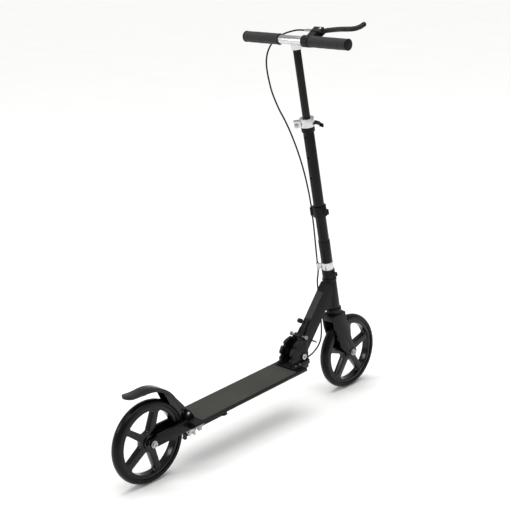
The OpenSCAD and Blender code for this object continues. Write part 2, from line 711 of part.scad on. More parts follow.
// barrel adjuster, screwed into the end of the perch
adjust_end = perch_y + perch_w + 30;
module adjuster() color("#d0d0d0") on_lever() translate([lever_out, 0, 0]) difference() {
    union() {
        rod_y(3, perch_y + 12, adjust_end);
        rod_y(5.2, perch_y + perch_w - 1.9, perch_y + perch_w + 4);
        rod_y(4.4, perch_y + perch_w - 1.9, adjust_end - 8);
        rod_y(3.6, adjust_end - 8, adjust_end);
    }
    rod_y(1, perch_y, adjust_end + 5);
}
blade_line = [[46, -8], [52, -22], [57, -42], [61, -62], [63, -82], [65, -98], [69, -110], [77, -119],
    [88, -124]];
tip_r = 6.2;
module brake_lever() color("#2c2c2c") on_lever() translate([0, perch_y, 0]) {
    h = blade_t;
    difference() {
        translate([0, 0, -h / 2]) linear_extrude(h) {
            translate([lever_out, -4]) circle(6);
            for (i = [0 : len(blade_line) - 2]) {
                a = blade_line[i];
                b = blade_line[i + 1];
                e = unit(b - a);
                n = [-e[1], e[0]] * blade_r;
                polygon([a + n, a - n, b - n, b + n]);
                translate(b) circle(blade_r);
            }
        }
        translate([lever_out, -4, -20]) cylinder(r = 2.55 + run, h = 40);
    }
    translate([blade_line[8][0], blade_line[8][1], 0]) sphere(tip_r);
}

// ---- cable ----
join = 0.8;
lever_end = [lever_out * cos(lever_tilt), adjust_end, bar_s + lever_out * sin(lever_tilt)];
// bow of the cable, as distances forward, to the left and above the clip on the stem
bow = [[43, 30, 505], [41, 58, 499], [38, 80, 492], [33, 104, 479], [27, 120, 465], [19, 132, 443],
    [11, 135, 419], [4, 131, 394], [-4, 121, 363], [-9, 111, 334], [-14, 90, 291], [-17, 69, 258],
    [-18, 52, 221], [-17, 35, 163], [-15, 25, 103], [-13, 20.5, 42]];
bow_k = (bar_s - clip_hi) / 490;
upper_pts = concat([lever_end], [for (p = bow) [p[0], p[1], clip_hi + bow_k * p[2]]],
    [[cable_at[0], cable_at[1], clip_hi + 6], [cable_at[0], cable_at[1], clip_hi - 3]]);
stem_pts = [[cable_at[0], cable_at[1], clip_hi - 3 - join], [cable_at[0] - 0.5, cable_at[1] + 0.8, clip_lo - 30],
    [guide_at[0] + 2, guide_at[1] - 0.6, guide_hi + 50], [guide_at[0], guide_at[1], guide_hi + 4],
    [guide_at[0], guide_at[1], clamp_hi + 2]];
turn_pts = [[guide_at[0], guide_at[1], clamp_hi + 2 - join], [guide_at[0] - 2, guide_at[1] + 3, head_hi + 20],
    [guide_at[0] - 6, guide_at[1] + 6, head_hi - 4], [-29, 25, head_hi - 32], clip_s];
fold_pts = concat([stem_point(clip_s)],
    [for (p = [[-42, 17, 30], [-48, 12, 4], [-54, 8, -18]]) stem_point(p + [0, 0, crown_hi])],
    [for (p = [[700, 8, 72], [696, 8, 48], [686, 8, 31], [671, 8, 19.5], [651, 8, 11], [622, 8, 6]])
        deck_point(p)], [deck_point(entry + [join, 0, 0])]);
deck_pts = [entry, [420, 8, 4.5], [250, 8, 4], [218, 7, 1.5], [198, 6, -4], [182, 3, -17],
    [deck_rear + 38, 0, calliper[1] - 15]];
module cable_upper() color("#0f0f0f") on_stem() cable(smooth(upper_pts, 2), cable_r, [1, 0.2, 0]);
module cable_stem() color("#0f0f0f") on_stem() cable(stem_pts, cable_r, [1, 0, 0]);
module cable_turn() color("#0f0f0f") on_stem() cable(smooth(turn_pts, 2), cable_r, [1, 0, 0]);
module cable_fold() color("#0f0f0f") cable(smooth(fold_pts, 2), cable_r, [0, 1, 0]);
module cable_deck() color("#0f0f0f") on_deck() cable(deck_pts, cable_r, [0, 1, 0]);

// ---- rear hand brake under the deck ----
plate_t = 2.5;
ear_t = 2.6;
ear_y = 19.2;
stop_x = deck_rear + 35;
shoe_w = 26;
shoe_turn = 8;
brake_gap = 0.35;
wire_r = 0.8;
module at_calliper() { translate([calliper[0], 0, calliper[1]]) children(); }
module caliper_bracket() color("#bdbdbd") on_deck() difference() {
    union() {
        translate([deck_rear + 1, -ear_y, board_bottom - plate_t - slip]) cube([42, 2 * ear_y, plate_t]);
        at_calliper() for (s = [-1, 1]) side(ear_t, s * (ear_y - ear_t / 2)) polygon([
            [-10.5, board_bottom - calliper[1] - 0.2], [19, board_bottom - calliper[1] - 0.2],
            [4, -6], [-3, -6], [-10.5, 13]]);
        // stop for the cable housing
        translate([stop_x, -7, calliper[1] - 21]) cube([3, 14, board_bottom - calliper[1] + 20]);
    }
    at_calliper() rod_y(3 + slip, -30, 30);
    translate([0, 0, calliper[1] - 15]) rod_x(wire_r + 0.4, stop_x - 5, stop_x + 5);
}
// inner wire with its nipple behind the brake arm
module brake_wire() color("#c9c9c9") on_deck() translate([0, 0, calliper[1] - 15]) {
    rod_x(wire_r, calliper[0] - 8, stop_x + 3);
    rod_x(2.2, calliper[0] - 8, calliper[0] - 4.6);
}
module brake_shoe() color("#5a5a5a") on_deck() difference() {
    union() {
        // shoe with its lining, hollowed to meet the tyre when it is pulled
        at_calliper() translate([-12, -shoe_w / 2, 4]) cube([9, shoe_w, 13]);
        at_calliper() translate([-8, -shoe_w / 2, -2]) cube([12, shoe_w, 14]);
        at_calliper() rod_y(8, -15, 15);
        at_calliper() translate([-4, -4, -22]) cube([8, 8, 20]);
    }
    at_calliper() rotate([0, shoe_turn, 0]) translate([-calliper[0], 0, -calliper[1]])
        rod_y(wheel_r + brake_gap, -20, 20);
    at_calliper() rod_y(3 + run, -30, 30);
    at_calliper() translate([0, 0, -15]) rod_x(wire_r + 1, -10, 10);
}

// ---- foot brake over the rear wheel ----
hinge = [wheel_r + 16, 33];
fender_w = 35;
pin_fr = 3;
skin_t = 3;
fender_turn = 4;
pad_a = 41;
pad_w = 24;
arch_k = wheel_r / 115;
tip_x = arch_k * -63.2;
tip_round = fender_w / 2;
module fender_base() color("#131313") on_deck() difference() {
    union() {
        translate([deck_rear + 1, -fender_w / 2, board_top]) cube([28, fender_w, 6]);
        for (s = [-1, 1]) side(4, s * (fender_w / 2 - 2)) {
            translate(hinge) circle(9.5);
            polygon([[deck_rear + 1, board_top + 1], [deck_rear + 27, board_top + 1],
                [deck_rear + 27, board_top + 8], hinge + [8, 5], hinge - [9, 0]]);
        }
    }
    translate([hinge[0], 0, hinge[1]]) rod_y(pin_fr + slip, -30, 30);
}
// outline of the arch: down the back, over the wheel and back along the underside
arch_c = [0, 42];
arch_r = 107;
tail_r = 150;
tail_c = arch_c + (arch_r + tail_r) * [cos(95), sin(95)];
arch_out = concat([hinge + [-3, 13], hinge + [-13, 30]],
    [for (a = [29 : 3 : 95]) arch_k * (arch_c + arch_r * [cos(a), sin(a)])],
    [for (a = [271 : -4 : 255]) arch_k * (tail_c + tail_r * [cos(a), sin(a)])]);
arch_in = concat([for (a = [255 : 4 : 271]) arch_k * (tail_c + (tail_r + 7.5) * [cos(a), sin(a)])],
    [for (a = [94 : -4 : 42]) arch_k * (arch_c + (arch_r - 10) * [cos(a), sin(a)])],
    [arch_k * [83, 93], hinge + [-19, 15]]);
module fender() color("#232323") on_deck() difference() {
    union() {
        difference() {
            side(fender_w) polygon(concat(arch_out, arch_in));
            // hollow between the side flanges and the solid tip
            difference() {
                side(fender_w - 2 * skin_t) translate([-1.4, -3.2]) polygon(concat(arch_out, arch_in));
                translate([tip_x - 10, -fender_w, 0]) cube([20, 2 * fender_w, 2 * wheel_r]);
            }
            // rounded tip
            difference() {
                translate([tip_x - tip_round, -fender_w, 0]) cube([2 * tip_round, 2 * fender_w, 2 * wheel_r]);
                translate([tip_x + tip_round, 0, -1]) cylinder(r = fender_w / 2 + 0.01, h = 2 * wheel_r + 2);
            }
        }
        // hinge block between the ears
        side(fender_w - 9) {
            translate(hinge) circle(9);
            polygon([hinge - [9, 0], hinge + [8, 4], hinge + [-13, 28], hinge + [-27, 25]]);
        }
        // brake pad on the underside, its flat face just off the tyre when it is pressed
        difference() {
            side(pad_w) polygon([arch_k * [98, 60], arch_k * [70, 88], arch_k * [88, 96.5], hinge + [-23, 39]]);
            translate([hinge[0], 0, hinge[1]]) rotate([0, fender_turn, 0]) translate([-hinge[0], 0, -hinge[1]])
                rotate([0, -pad_a, 0]) translate([0, -pad_w, -wheel_r])
                    cube([wheel_r + brake_gap, 2 * pad_w, 2 * wheel_r]);
        }
    }
    translate([hinge[0], 0, hinge[1]]) rod_y(pin_fr + run, -30, 30);
    // room for the ears
    for (s = [-1, 1]) translate([hinge[0], 0, hinge[1]]) rod_y(10.2, s > 0 ? 13 : -20, s > 0 ? 20 : -13);
}
// skirts that hang from the front of the arch beside the tyre
skirt_r = wheel_r - 6;
skirt_in = tyre_w / 2 + 0.5;
skirt_line = concat([for (a = [54 : -4 : 42]) arch_k * (arch_c + (arch_r - 10) * [cos(a), sin(a)])],
    [arch_k * [83, 93], hinge + [-19, 15]], [for (a = [16 : 4 : 48]) skirt_r * [cos(a), sin(a)]]);
module fender_skirts() color("#1d1d1d") on_deck() for (s = [-1, 1])
    side(fender_w / 2 - skirt_in, s * (fender_w / 2 + skirt_in) / 2) polygon(skirt_line);
// hinge pins of the fender, the calliper and the stand
module deck_pins() color("#c9c9c9") {
    on_deck() translate([hinge[0], 0, hinge[1]]) {
        rod_y(pin_fr, -fender_w / 2, fender_w / 2);
        for (s = [0, 1]) mirror([0, s, 0]) translate([0, fender_w / 2, 0]) rod_y(5, 0, 2.5);
    }
    on_deck() at_calliper() {
        rod_y(3, -ear_y, ear_y);
        for (s = [0, 1]) mirror([0, s, 0]) translate([0, ear_y, 0]) rod_y(5.5, 0, 3);
    }
    on_stand() {
        rod_y(3, -5.7, 5);
        translate([0, -5.7, 0]) rod_y(4.6, -2.2, 0);
    }
}

// ---- kickstand, folded along the underside ----
stand_at = [deck_rear + 28, -31.5, board_bottom - 8.6];
stand_tilt = 18;
stand_eye = 5.2;
stand_h = 5;
stand_l = (axle_z + stand_at[2]) / cos(stand_tilt) - 3;
module on_stand() { on_deck() translate(stand_at) rotate([-stand_tilt, 0, 0]) children(); }
module stand_bracket() color("#bdbdbd") difference() {
    union() {
        on_deck() translate([stand_at[0] - 16, -38, board_bottom - plate_t - slip]) cube([34, 10.5, plate_t]);
        on_stand() side(3, -4.2) polygon([[-16, 9], [18, 9], [4, -8], [-4, -8]]);
    }
    on_stand() rod_y(3 + slip, -12, 12);
    on_deck() translate([stand_at[0] - 50, -100, board_bottom - slip]) cube([120, 200, 40]);
}
module kickstand() color("#2a2a2a") on_stand() difference() {
    union() {
        rod_y(stand_eye, -2.4, 3.4);
        translate([0, -2.4, -0.8]) cube([stand_l - 8, 5.8, stand_h]);
        translate([stand_l - 12, -4, -3.4]) cube([12, 9, 7]);
    }
    rod_y(3 + run, -12, 12);
}

// ---- assembly ----
deck_board();
deck_plugs();
grip_tape();
arms();
deck_screws();
rear_axle();
rear_sleeve();
bracket_base();
cheeks();
pivot_bolt();
fender_base();
deck_pins();
caliper_bracket();
stand_bracket();
cable_deck();
brake_wire();
neck_frame();
neck_pad();
lock_rail();
head_cups();
head_bearings();
cable_turn();
cable_fold();
cable_clip();
lock_slide();
lock_pin();
pull_pin();
fork_crown();
fork_legs();
steerer_tube();
front_axle();
front_sleeve();
stem_sleeve();
lower_tube();
clamp_collar();
cable_guide();
stem_clip();
tube_collar();
qr_collar();
qr_bolt();
cable_stem();
qr_lever();
upper_tube();
t_bar();
grips();
bar_plugs();
lever_clamp();
adjuster();
lever_pin();
cable_upper();
brake_lever();
front_rim();
front_tyre();
front_bearings();
rear_rim();
rear_tyre();
rear_bearings();
fender();
fender_skirts();
brake_shoe();
kickstand();
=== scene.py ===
import math

import bpy
from mathutils import Matrix, Vector


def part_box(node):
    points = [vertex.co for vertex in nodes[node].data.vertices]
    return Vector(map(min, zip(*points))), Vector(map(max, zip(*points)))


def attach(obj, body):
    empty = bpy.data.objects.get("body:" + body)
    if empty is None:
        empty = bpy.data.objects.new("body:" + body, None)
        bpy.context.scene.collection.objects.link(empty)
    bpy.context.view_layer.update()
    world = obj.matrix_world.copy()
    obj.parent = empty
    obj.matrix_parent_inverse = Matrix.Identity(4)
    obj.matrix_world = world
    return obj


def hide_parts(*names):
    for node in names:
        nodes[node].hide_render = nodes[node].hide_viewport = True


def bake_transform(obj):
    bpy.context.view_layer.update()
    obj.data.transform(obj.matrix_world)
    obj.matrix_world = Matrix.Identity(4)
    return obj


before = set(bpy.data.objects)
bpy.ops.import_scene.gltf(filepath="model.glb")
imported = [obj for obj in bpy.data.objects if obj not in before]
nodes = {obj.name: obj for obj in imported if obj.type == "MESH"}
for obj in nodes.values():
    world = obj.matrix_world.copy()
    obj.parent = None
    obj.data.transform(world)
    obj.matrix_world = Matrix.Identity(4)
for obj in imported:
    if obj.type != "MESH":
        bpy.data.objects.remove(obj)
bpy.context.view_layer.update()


# ---------------------------------------------------------------- camera
# A long lens on a stand at the rider's shoulder height, behind the scooter and to its right, so the
# rear wheel is nearest and the handlebar reaches the top of the picture.
eye = bpy.data.cameras.new("studio_camera")
eye.lens = 81.8
eye.sensor_width = 36.0
eye.shift_x = -0.0250
eye.shift_y = -0.0340
eye.clip_start = 0.1
eye.clip_end = 60.0
camera = bpy.data.objects.new("studio_camera", eye)
bpy.context.scene.collection.objects.link(camera)
right = Vector((0.692476, -0.720624, -0.034316))
up = Vector((0.229551, 0.174992, 0.957436))
back = right.cross(up)
turn = Matrix((right, up, back)).transposed().to_4x4()
camera.matrix_world = Matrix.Translation((-2.12683, -2.15646, 1.47666)) @ turn
bpy.context.scene.camera = camera


# ---------------------------------------------------------------- studio
# A seamless sheet of pale paper on the ground, in a white tent. Soft daylight comes through the roof.
# One broad lamp hangs overhead, one on the camera's left gives tubes and rims their sheen, and a
# weaker one on its right fills the shade.
def linear(code):
    """A colour written as sRGB hex, turned to the linear values that a socket takes."""
    parts = [int(code[i:i + 2], 16) / 255 for i in (1, 3, 5)]
    return [c / 12.92 if c <= 0.04045 else ((c + 0.055) / 1.055) ** 2.4 for c in parts] + [1.0]


def wire(tree, kind, settings=None, **links):
    """Adds one node with its settings, and links that run from (node, output) to its inputs.

    The setting "stops" gives the (position, hex) stops of a colour ramp."""
    node = tree.nodes.new(kind)
    for name, value in (settings or {}).items():
        if name == "stops":
            band = node.color_ramp.elements
            while len(band) < len(value):
                band.new(0.5)
            for element, (position, code) in zip(band, value):
                element.position = position
                element.color = linear(code)
        elif name in node.inputs:
            node.inputs[name].default_value = value
        else:
            setattr(node, name, value)
    for name, (source, output) in links.items():
        key = int(name[2:]) if name.startswith("in") and name[2:].isdigit() else name.replace("_", " ")
        tree.links.new(source.outputs[output], node.inputs[key])
    return node


def finish_named(name):
    """A new material with its shader, its node tree and the object's own coordinates."""
    made = bpy.data.materials.new(name)
    made.use_nodes = True
    tree = made.node_tree
    shader = tree.nodes["Principled BSDF"]
    place = wire(tree, "ShaderNodeTexCoord")
    return made, tree, shader, place


world = bpy.data.worlds.new("white_tent")
bpy.context.scene.world = world
world.use_nodes = True
world.node_tree.nodes["Background"].inputs["Color"].default_value = linear("#ffffff")
world.node_tree.nodes["Background"].inputs["Strength"].default_value = 0.45
bpy.context.scene.view_settings.view_transform = "Standard"

bpy.ops.object.select_all(action="DESELECT")
floor_size = 120
bpy.ops.mesh.primitive_plane_add(size=floor_size, location=(0, 0, 0))
paper = bpy.context.object
paper.name = "paper_floor"
paper_finish, tree, shader, place = finish_named("pale_paper")
pulp = wire(tree, "ShaderNodeTexNoise", {"Scale": 3.0, "Detail": 4.0}, Vector=(place, "Object"))
tint = wire(tree, "ShaderNodeValToRGB", {"stops": [(0.0, "#f3f3f2"), (1.0, "#f8f8f7")]},
            Fac=(pulp, "Fac"))
tree.links.new(tint.outputs["Color"], shader.inputs["Base Color"])
shader.inputs["Roughness"].default_value = 0.9
shader.inputs["Specular IOR Level"].default_value = 0.1
paper.data.materials.append(paper_finish)

noon = bpy.data.lights.new("tent_roof", "SUN")
noon.energy = 1.9
noon.angle = math.radians(60)
roof = bpy.data.objects.new("tent_roof", noon)
bpy.context.scene.collection.objects.link(roof)
for name, spot, size, power, aim in (
    ("lamp_overhead", (0.4, 0.3, 4.2), 3.0, 40, (0, 0, 0.3)),
    ("lamp_left", (-2.6, 2.2, 1.9), 1.0, 26, (0, 0, 0.5)),
    ("lamp_right", (0.8, -3.0, 2.0), 0.8, 16, (0.1, 0, 0.6)),
):
    glow = bpy.data.lights.new(name, "AREA")
    glow.size = size
    glow.energy = power
    lamp = bpy.data.objects.new(name, glow)
    bpy.context.scene.collection.objects.link(lamp)
    lamp.location = spot
    lamp.rotation_mode = "QUATERNION"
    lamp.rotation_quaternion = (Vector(aim) - Vector(spot)).to_track_quat("-Z", "Y")


# ---------------------------------------------------------------- deck board and its end plugs
# The board is one aluminium extrusion, powder coated black, with its edges eased by the die. Its
# ends are closed by moulded plugs, pushed in.
merge_gap = 0.000004
flat_enough = math.radians(0.6)


def eased(node, body, edge, finish, smooth=34, rubbed=None):
    """A merged copy of a CAD node, in its place, whose edges sharper than smooth are eased by edge metres."""
    bpy.ops.object.select_all(action="DESELECT")
    source = nodes[node]
    piece = bpy.data.objects.new(node + "_eased", source.data.copy())
    bpy.context.scene.collection.objects.link(piece)
    bpy.context.view_layer.objects.active = piece
    piece.select_set(True)
    bpy.ops.object.mode_set(mode="EDIT")
    bpy.ops.mesh.select_all(action="SELECT")
    bpy.ops.mesh.remove_doubles(threshold=merge_gap)
    bpy.ops.mesh.dissolve_limited(angle_limit=flat_enough)
    bpy.ops.object.mode_set(mode="OBJECT")
    round_over = piece.modifiers.new("round_over", "BEVEL")
    round_over.width = edge
    round_over.segments = 2
    round_over.limit_method = "ANGLE"
    round_over.angle_limit = math.radians(smooth)
    piece.data.materials.clear()
    piece.data.materials.append(finish)
    # the bevel faces take this second, lighter finish: a painted highlight along the edges
    if rubbed:
        piece.data.materials.append(rubbed)
        round_over.material = 1
    bpy.ops.object.modifier_apply(modifier=round_over.name)
    bpy.ops.object.shade_smooth_by_angle(angle=math.radians(smooth))
    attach(piece, body)
    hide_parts(node)


def powder_coat(name, dark, light, rough, peel=0.12, edge_wear_and_highlight=0.5, edge="#2c2c2b"):
    """Baked polyester powder on aluminium: an orange-peel skin with a low sheen, and sharp edges painted
    lighter, partly as edge wear and partly as a painted highlight.
    """
    made, tree, shader, place = finish_named(name)
    cloud = wire(tree, "ShaderNodeTexNoise", {"Scale": 14.0, "Detail": 3.0}, Vector=(place, "Object"))
    body = wire(tree, "ShaderNodeValToRGB", {"stops": [(0.3, dark), (0.75, light)]}, Fac=(cloud, "Fac"))
    # the peel is 1.4 mm from crest to crest
    skin = wire(tree, "ShaderNodeTexNoise", {"Scale": 700.0, "Detail": 2.0}, Vector=(place, "Object"))
    swell = wire(tree, "ShaderNodeBump", {"Strength": peel, "Distance": 0.0004}, Height=(skin, "Fac"))
    # sharp edges, found by pointiness, are painted lighter toward the edge colour: partly edge wear, partly a
    # painted highlight where light catches the rounded edge
    wear_and_highlight_geometry = wire(tree, "ShaderNodeNewGeometry")
    line = wire(tree, "ShaderNodeMapRange", {"From Min": 0.53, "From Max": 0.62, "To Max": edge_wear_and_highlight},
                Value=(wear_and_highlight_geometry, "Pointiness"))
    rub = wire(tree, "ShaderNodeMix", {"data_type": "RGBA"}, Factor=(line, "Result"))
    tree.links.new(body.outputs["Color"], rub.inputs[6])
    rub.inputs[7].default_value = linear(edge)
    tree.links.new(rub.outputs[2], shader.inputs["Base Color"])
    dull = wire(tree, "ShaderNodeMapRange", {"From Min": 0.3, "From Max": 0.7, "To Min": rough - 0.05,
                                             "To Max": rough + 0.07}, Value=(cloud, "Fac"))
    tree.links.new(dull.outputs["Result"], shader.inputs["Roughness"])
    tree.links.new(swell.outputs["Normal"], shader.inputs["Normal"])
    shader.inputs["IOR"].default_value = 1.5
    shader.inputs["Specular IOR Level"].default_value = 0.16
    return made


deck_coat = powder_coat("deck_powder_coat", "#0c0c0b", "#131312", 0.4)
eased("deck_board", "deck", 0.0006, deck_coat)


def moulded(name, dark, light, rough, grain=0.1, coat=0.0):
    """Injection moulded plastic: a spark-eroded grain of about half a millimetre, with faint flow."""
    made, tree, shader, place = finish_named(name)
    flow = wire(tree, "ShaderNodeTexNoise", {"Scale": 22.0, "Detail": 2.0}, Vector=(place, "Object"))
    body = wire(tree, "ShaderNodeValToRGB", {"stops": [(0.3, dark), (0.75, light)]}, Fac=(flow, "Fac"))
    tree.links.new(body.outputs["Color"], shader.inputs["Base Color"])
    spark = wire(tree, "ShaderNodeTexVoronoi", {"Scale": 1700.0}, Vector=(place, "Object"))
    swell = wire(tree, "ShaderNodeBump", {"Strength": grain, "Distance": 0.0003},
                 Height=(spark, "Distance"))
    tree.links.new(swell.outputs["Normal"], shader.inputs["Normal"])
    dull = wire(tree, "ShaderNodeMapRange", {"From Min": 0.3, "From Max": 0.7, "To Min": rough - 0.04,
                                             "To Max": rough + 0.05}, Value=(flow, "Fac"))
    tree.links.new(dull.outputs["Result"], shader.inputs["Roughness"])
    shader.inputs["IOR"].default_value = 1.49
    shader.inputs["Specular IOR Level"].default_value = 0.16
    shader.inputs["Coat Weight"].default_value = coat
    shader.inputs["Coat Roughness"].default_value = 0.12
    return made


plastic = moulded("moulded_nylon", "#060606", "#0b0b0b", 0.45)
eased("deck_plugs", "deck", 0.0004, plastic)


# ---------------------------------------------------------------- grip tape
# A sheet of rubber-backed paper with bonded grit, stuck to the top of the board: grey-green black,
# with the grains painted bright at their centres as painted glints, and scuffs where feet turn.
grit, tree, shader, place = finish_named("bonded_grit")
scuff = wire(tree, "ShaderNodeTexNoise", {"Scale": 9.0, "Detail": 6.0, "Roughness": 0.6},
             Vector=(place, "Object"))
ground = wire(tree, "ShaderNodeValToRGB", {"stops": [(0.3, "#2c2d28"), (0.55, "#34352f"), (0.8, "#3d3e37")]},
              Fac=(scuff, "Fac"))
# grains are 0.9 mm apart, drawn coarser than the real 0.4 mm so that they show
grains = wire(tree, "ShaderNodeTexVoronoi", {"Scale": 1100.0}, Vector=(place, "Object"))
# the centre of each grain is painted light grey: a painted glint, where light would catch the grit
spark = wire(tree, "ShaderNodeValToRGB", {"stops": [(0.0, "#6c6d66"), (0.22, "#2c2d29"), (1.0, "#20211e")]},
             Fac=(grains, "Distance"))
mixed = wire(tree, "ShaderNodeMix", {"data_type": "RGBA", "Factor": 0.38})
tree.links.new(ground.outputs["Color"], mixed.inputs[6])
tree.links.new(spark.outputs["Color"], mixed.inputs[7])
tree.links.new(mixed.outputs[2], shader.inputs["Base Color"])
rise = wire(tree, "ShaderNodeBump", {"Strength": 0.7, "Distance": 0.0006, "invert": True},
            Height=(grains, "Distance"))
tree.links.new(rise.outputs["Normal"], shader.inputs["Normal"])
shader.inputs["Roughness"].default_value = 0.82
eased("grip_tape", "deck", 0.0003, grit)


# ---------------------------------------------------------------- rear arms and fasteners
# Two pressed plates run from the bays of the board to the rear axle, powder coated like the frame.
# Screws, bolts and nuts are steel, zinc plated.
frame_coat = powder_coat("frame_powder_coat", "#070707", "#0d0d0d", 0.34)
eased("arms", "deck", 0.0009, frame_coat)


def metal(name, light, dark, rough, lines=(1.0, 1.0, 1.0), depth=0.05):
    """Bare or plated metal, with tool lines drawn out along the axis where lines is small."""
    made, tree, shader, place = finish_named(name)
    drawn = wire(tree, "ShaderNodeMapping", {"Scale": lines}, Vector=(place, "Object"))
    # the marks are 1.1 mm apart, coarser than real tool lines so that they show
    marks = wire(tree, "ShaderNodeTexNoise", {"Scale": 900.0, "Detail": 3.0}, Vector=(drawn, "Vector"))
    body = wire(tree, "ShaderNodeValToRGB", {"stops": [(0.3, dark), (0.7, light)]}, Fac=(marks, "Fac"))
    tree.links.new(body.outputs["Color"], shader.inputs["Base Color"])
    cut = wire(tree, "ShaderNodeBump", {"Strength": depth, "Distance": 0.0002}, Height=(marks, "Fac"))
    tree.links.new(cut.outputs["Normal"], shader.inputs["Normal"])
    haze = wire(tree, "ShaderNodeTexNoise", {"Scale": 30.0, "Detail": 2.0}, Vector=(place, "Object"))
    dull = wire(tree, "ShaderNodeMapRange", {"From Min": 0.3, "From Max": 0.7, "To Min": rough - 0.05,
                                             "To Max": rough + 0.06}, Value=(haze, "Fac"))
    tree.links.new(dull.outputs["Result"], shader.inputs["Roughness"])
    shader.inputs["Metallic"].default_value = 1.0
    return made


zinc = metal("zinc_plate", "#bfc1c2", "#9c9e9f", 0.3)
steel = metal("turned_steel", "#8d8e90", "#6d6e70", 0.34, lines=(1.0, 0.08, 1.0))
for node, body in (("rear_axle", "deck"), ("pivot_bolt", "deck"), ("deck_pins", "deck"),
                   ("caliper_bracket", "deck"), ("stand_bracket", "deck"), ("front_axle", "steering"),
                   ("pull_pin", "plunger"), ("qr_bolt", "steering"), ("lever_pin", "handlebar")):
    eased(node, body, 0.0004, zinc)
for node, body in (("deck_screws", "deck"), ("lock_pin", "lock")):
    eased(node, body, 0.0003, steel)
# small turned parts keep their CAD meshes, because their edges hardly show
for node in ("rear_sleeve", "front_sleeve", "brake_wire", "head_bearings", "steerer_tube",
             "front_bearings", "rear_bearings"):
    nodes[node].data.materials.clear()
    nodes[node].data.materials.append(steel)


# ---------------------------------------------------------------- folding bracket
# A cast base bolted to the front of the board carries two thick cheeks. Their rims have three
# notches for the lock pin: riding, half folded and folded.
eased("bracket_base", "deck", 0.0009, frame_coat)
eased("cheeks", "deck", 0.0012, frame_coat)


# ---------------------------------------------------------------- neck and head tube
# A welded box beam leans from the pivot up to the head tube. A ribbed rubber pad is stuck to its
# back, and moulded rails guide the slide of the lock.
# the bevel faces of the beam are coated light grey: a painted highlight along its rounded edges
edge_highlight_coat = powder_coat("rubbed_powder_coat", "#3c3c3a", "#60605c", 0.28)
eased("neck_frame", "neck", 0.0013, frame_coat, rubbed=edge_highlight_coat)
eased("head_cups", "neck", 0.0008, frame_coat)
rubber, tree, shader, place = finish_named("diamond_rubber")
# two sets of ribs, 5 mm from crest to crest, cross on the slope of the beam
beam_lean = math.radians(39.58)
rib_turn = math.radians(38)
slope = wire(tree, "ShaderNodeMapping", {"Rotation": (0, -beam_lean, 0)}, Vector=(place, "Object"))
ribs = []
for turned in (rib_turn, -rib_turn):
    leaning = wire(tree, "ShaderNodeMapping", {"Rotation": (turned, 0, 0)}, Vector=(slope, "Vector"))
    ribs.append(wire(tree, "ShaderNodeTexWave", {"Scale": 62.0, "bands_direction": "Z"},
                     Vector=(leaning, "Vector")))
crossed = wire(tree, "ShaderNodeMath", {"operation": "MAXIMUM"}, in0=(ribs[0], "Fac"),
               in1=(ribs[1], "Fac"))
# rib crests are painted lighter than the grooves: a painted highlight on the crests and painted shade between
# them
tint = wire(tree, "ShaderNodeValToRGB", {"stops": [(0.35, "#080808"), (0.95, "#262625")]},
            Fac=(crossed, "Value"))
tree.links.new(tint.outputs["Color"], shader.inputs["Base Color"])
tread = wire(tree, "ShaderNodeBump", {"Strength": 0.8, "Distance": 0.001}, Height=(crossed, "Value"))
tree.links.new(tread.outputs["Normal"], shader.inputs["Normal"])
shader.inputs["Roughness"].default_value = 0.5
eased("neck_pad", "neck", 0.0006, rubber)
eased("lock_rail", "neck", 0.0004, plastic)
eased("cable_clip", "neck", 0.0006, plastic)
grey_plastic = moulded("grey_nylon", "#151515", "#1e1e1e", 0.42)
eased("lock_slide", "lock", 0.0012, grey_plastic)


# ---------------------------------------------------------------- fork
# Two flat plates are welded to a crown block, round the steerer tube. They are powder coated with
# the head tube.
eased("fork_crown", "steering", 0.0014, frame_coat)
eased("fork_legs", "steering", 0.0011, frame_coat)


# ---------------------------------------------------------------- lower stem
# A drawn aluminium tube, coated gloss black, with three holes at its back for the height. It
# carries a clamp, a reinforcing sleeve, a bright guide and a moulded clip for the cable.
tube_coat = powder_coat("tube_powder_coat", "#050505", "#0a0a0a", 0.22, peel=0.06, edge_wear_and_highlight=0.3)
eased("lower_tube", "steering", 0.0005, tube_coat)
eased("stem_sleeve", "steering", 0.0006, tube_coat)
eased("clamp_collar", "steering", 0.0008, frame_coat)
bright = metal("polished_aluminium", "#d6d7d9", "#bcbdc0", 0.24, lines=(1.0, 0.06, 1.0), depth=0.03)
eased("cable_guide", "steering", 0.0006, bright)
eased("stem_clip", "steering", 0.0009, plastic)
eased("tube_collar", "steering", 0.0008, plastic)
eased("qr_collar", "steering", 0.0008, bright)
eased("qr_lever", "quick_release", 0.0012, plastic)


# ---------------------------------------------------------------- upper stem and handlebar
# The sliding tube is anodised dark bronze. The bar is polished aluminium, welded across its top.
upper_coat = powder_coat("bronze_anodising", "#14120e", "#1c1914", 0.22, peel=0.05, edge_wear_and_highlight=0.2)
eased("upper_tube", "handlebar", 0.0004, upper_coat)
eased("t_bar", "handlebar", 0.0005, bright)


# ---------------------------------------------------------------- foam grips
# Tubes of closed-cell foam are rolled on to the bar. They bulge a little between their ends, and
# their skin is all fine pores.
foam, tree, shader, place = finish_named("closed_cell_foam")
cloud = wire(tree, "ShaderNodeTexNoise", {"Scale": 60.0, "Detail": 5.0}, Vector=(place, "Object"))
body = wire(tree, "ShaderNodeValToRGB", {"stops": [(0.3, "#202020"), (0.7, "#2d2d2d")]},
            Fac=(cloud, "Fac"))
# pores are 0.7 mm across, a little coarser than the real foam
pores = wire(tree, "ShaderNodeTexVoronoi", {"Scale": 1400.0}, Vector=(place, "Object"))
